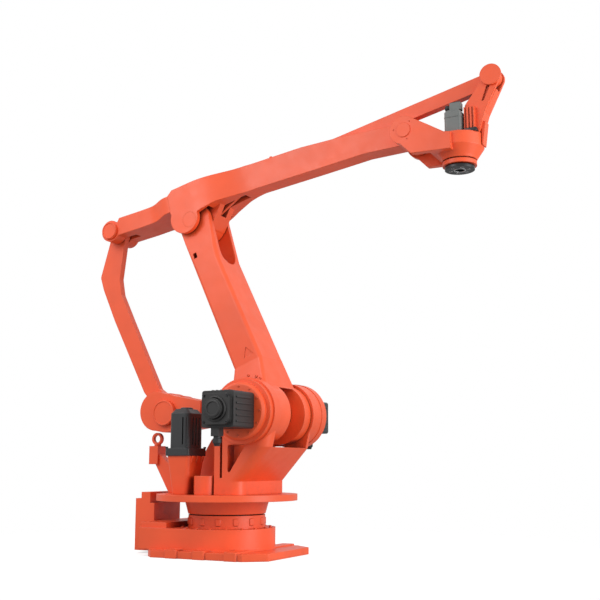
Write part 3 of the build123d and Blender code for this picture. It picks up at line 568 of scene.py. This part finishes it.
# Forearm
def forearm_plugs(mesh_data):
    """Plugs on the top edge."""
    along = 0.548
    across = 0.211
    aside = 0.044
    slope = FORE_ANGLE - FOREARM_TAPER
    profile = [(0.0, -0.003), (0.010, -0.003), (0.010, 0.008), (0.007, 0.012), (0.0, 0.012)]
    for side in (-1, 1):
        centre = side_point(ELBOW, along, across, FORE_ANGLE, side * aside)
        place = axis_frame(centre, (-sin(slope), 0.0, cos(slope)), (0.0, 1.0, 0.0))
        lathe(mesh_data, place, profile, 24)


piece("forearm_plugs", forearm_plugs, paint, "forearm_body")

# Wrist
for side, label in SIDES:
    screw_ring("yoke_screws_" + label, "wrist_body", outer_face(WRIST, "wrist_yoke", side), (0, side, 0),
               circle=0.056, count=3, head=0.004, height=0.002, start=0.9)


def rib_feet(mesh_data):
    """Dark foot plates under the ribbed blocks."""
    forward = 0.084
    aside = 0.066
    for side in (-1, 1):
        place = Matrix.Translation(WRIST_TOP + Vector((forward, side * aside, 0.0)))
        soft_block(mesh_data, place, width=0.072, depth=0.032, low=0.0, high=0.020, radius=0.003)


piece("rib_feet", rib_feet, dark_steel, "wrist_body")


def motor_plug(mesh_data):
    """Plug and cap plate on the wrist motor."""
    profile = [(0.0, 0.0), (0.014, 0.0), (0.014, 0.008), (0.017, 0.010),
               (0.017, 0.024), (0.012, 0.028), (0.0, 0.028)]
    plug_place = WRIST_MOTOR + Vector((-0.019, -0.004, 0.150))
    cap_place = WRIST_MOTOR + Vector((0.011, -0.004, 0.171))
    lathe(mesh_data, axis_frame(plug_place, (-1, 0, 0)), profile, 28)
    soft_block(mesh_data, Matrix.Translation(cap_place),
               width=0.052, depth=0.034, low=0.0, high=0.006, radius=0.004)


piece("wrist_motor_plug", motor_plug, plastic, "wrist_body")


def motor_seams(mesh_data):
    """Mounting flange and upper band of the wrist motor."""
    for low, high, width in ((0.0, 0.012, 0.098), (0.086, 0.092, 0.093)):
        soft_block(mesh_data, Matrix.Translation(WRIST_MOTOR), width, width, low, high, radius=0.015)


piece("wrist_motor_seams", motor_seams, mid_grey, "wrist_body")
screw_ring("wrist_body_screws", "wrist_body", WRIST_TOP, (0, 0, 1),
           circle=0.118, count=12, head=0.006, height=0.005, start=0.26)


def flange_inserts(mesh_data):
    """Bright pilot ring and thread inserts on the tool flange."""
    down = (0, 0, -1)
    pilot = [(0.033, -0.001), (0.033, 0.0012), (0.026, 0.0012), (0.026, -0.001)]
    insert = [(0.0085, -0.001), (0.0085, 0.0008), (0.0055, 0.0008), (0.0055, -0.001)]
    lathe(mesh_data, axis_frame(FLANGE_FACE, down), pilot, 48)
    for place in ring_places(FLANGE_FACE, down, radius=0.050, count=6):
        lathe(mesh_data, place, insert, 24)


piece("flange_inserts", flange_inserts, steel, "flange_body")

# Camera at the photograph's place
camera_data = bpy.data.cameras.new("camera")
camera_data.sensor_width = 36.0
camera_data.lens = 56.1
camera = bpy.data.objects.new("camera", camera_data)
bpy.context.scene.collection.objects.link(camera)
camera.location = (2.832, -4.631, 0.493)
camera.rotation_euler = (radians(90.0 + 10.03), 0.0, radians(27.09))
bpy.context.scene.camera = camera
bpy.context.scene.view_settings.view_transform = "Standard"


# Pale floor that fades into a white backdrop dome
def fade_out(tree, shader, start, end):
    """Lets a surface vanish between two distances from its middle."""
    length = tree.nodes.new("ShaderNodeVectorMath")
    length.operation = "LENGTH"
    tree.links.new(tree.nodes.new("ShaderNodeTexCoord").outputs["Object"], length.inputs[0])
    fade = tree.nodes.new("ShaderNodeMapRange")
    fade.interpolation_type = "SMOOTHSTEP"
    fade.inputs["From Min"].default_value = start
    fade.inputs["From Max"].default_value = end
    fade.inputs["To Min"].default_value = 1.0
    fade.inputs["To Max"].default_value = 0.0
    tree.links.new(length.outputs["Value"], fade.inputs["Value"])
    tree.links.new(fade.outputs["Result"], shader.inputs["Alpha"])


def stage_piece(name, build, grey, glow, fade=None):
    """Glowing piece of the stage that lights nothing itself."""
    obj = mesh_object(name, build)
    material = bpy.data.materials.new(name)
    material.use_nodes = True
    tree = material.node_tree
    shader = tree.nodes["Principled BSDF"]
    shader.inputs["Base Color"].default_value = (grey, grey, grey, 1.0)
    shader.inputs["Roughness"].default_value = 0.9
    shader.inputs["Specular IOR Level"].default_value = 0.0
    shader.inputs["Emission Color"].default_value = (1.0, 1.0, 1.0, 1.0)
    shader.inputs["Emission Strength"].default_value = glow
    if fade:
        fade_out(tree, shader, *fade)
    obj.data.materials.append(material)
    obj.visible_diffuse = False
    obj.visible_glossy = False
    return obj


def floor_disc(mesh_data):
    bmesh.ops.create_circle(mesh_data, cap_ends=True, segments=96, radius=2.6)


def white_dome(mesh_data):
    bmesh.ops.create_uvsphere(mesh_data, u_segments=48, v_segments=24, radius=40.0)


floor = stage_piece("floor", floor_disc, grey=0.55, glow=0.62, fade=(0.7, 2.5))
floor.location = (0.0, 0.0, -0.001)
dome = stage_piece("backdrop", white_dome, grey=0.0, glow=1.0)
dome.visible_shadow = False

# White surroundings, dimmer below
world = bpy.data.worlds.new("studio")
bpy.context.scene.world = world
world.use_nodes = True
sky = world.node_tree
height = sky.nodes.new("ShaderNodeSeparateXYZ")
sky.links.new(sky.nodes.new("ShaderNodeTexCoord").outputs["Generated"], height.inputs[0])
strength = sky.nodes.new("ShaderNodeMapRange")
strength.inputs["From Min"].default_value = -0.25
strength.inputs["From Max"].default_value = 0.45
strength.inputs["To Min"].default_value = 0.42
strength.inputs["To Max"].default_value = 0.95
sky.links.new(height.outputs["Z"], strength.inputs["Value"])
sky.links.new(strength.outputs["Result"], sky.nodes["Background"].inputs["Strength"])
sky.nodes["Background"].inputs["Color"].default_value = (1.0, 1.0, 1.0, 1.0)


# Soft light
def area_light(name, place, target, size, power):
    data = bpy.data.lights.new(name, "AREA")
    data.size = size
    data.energy = power
    obj = bpy.data.objects.new(name, data)
    bpy.context.scene.collection.objects.link(obj)
    obj.location = place
    aim = Vector(target) - Vector(place)
    obj.rotation_euler = aim.to_track_quat("-Z", "Y").to_euler()


area_light("key", place=(-1.6, -3.9, 3.6), target=(0.1, 0.0, 2.1), size=2.4, power=90.0)
area_light("fill", place=(5.6, -0.4, 1.4), target=(0.2, 0.0, 1.2), size=3.0, power=175.0)
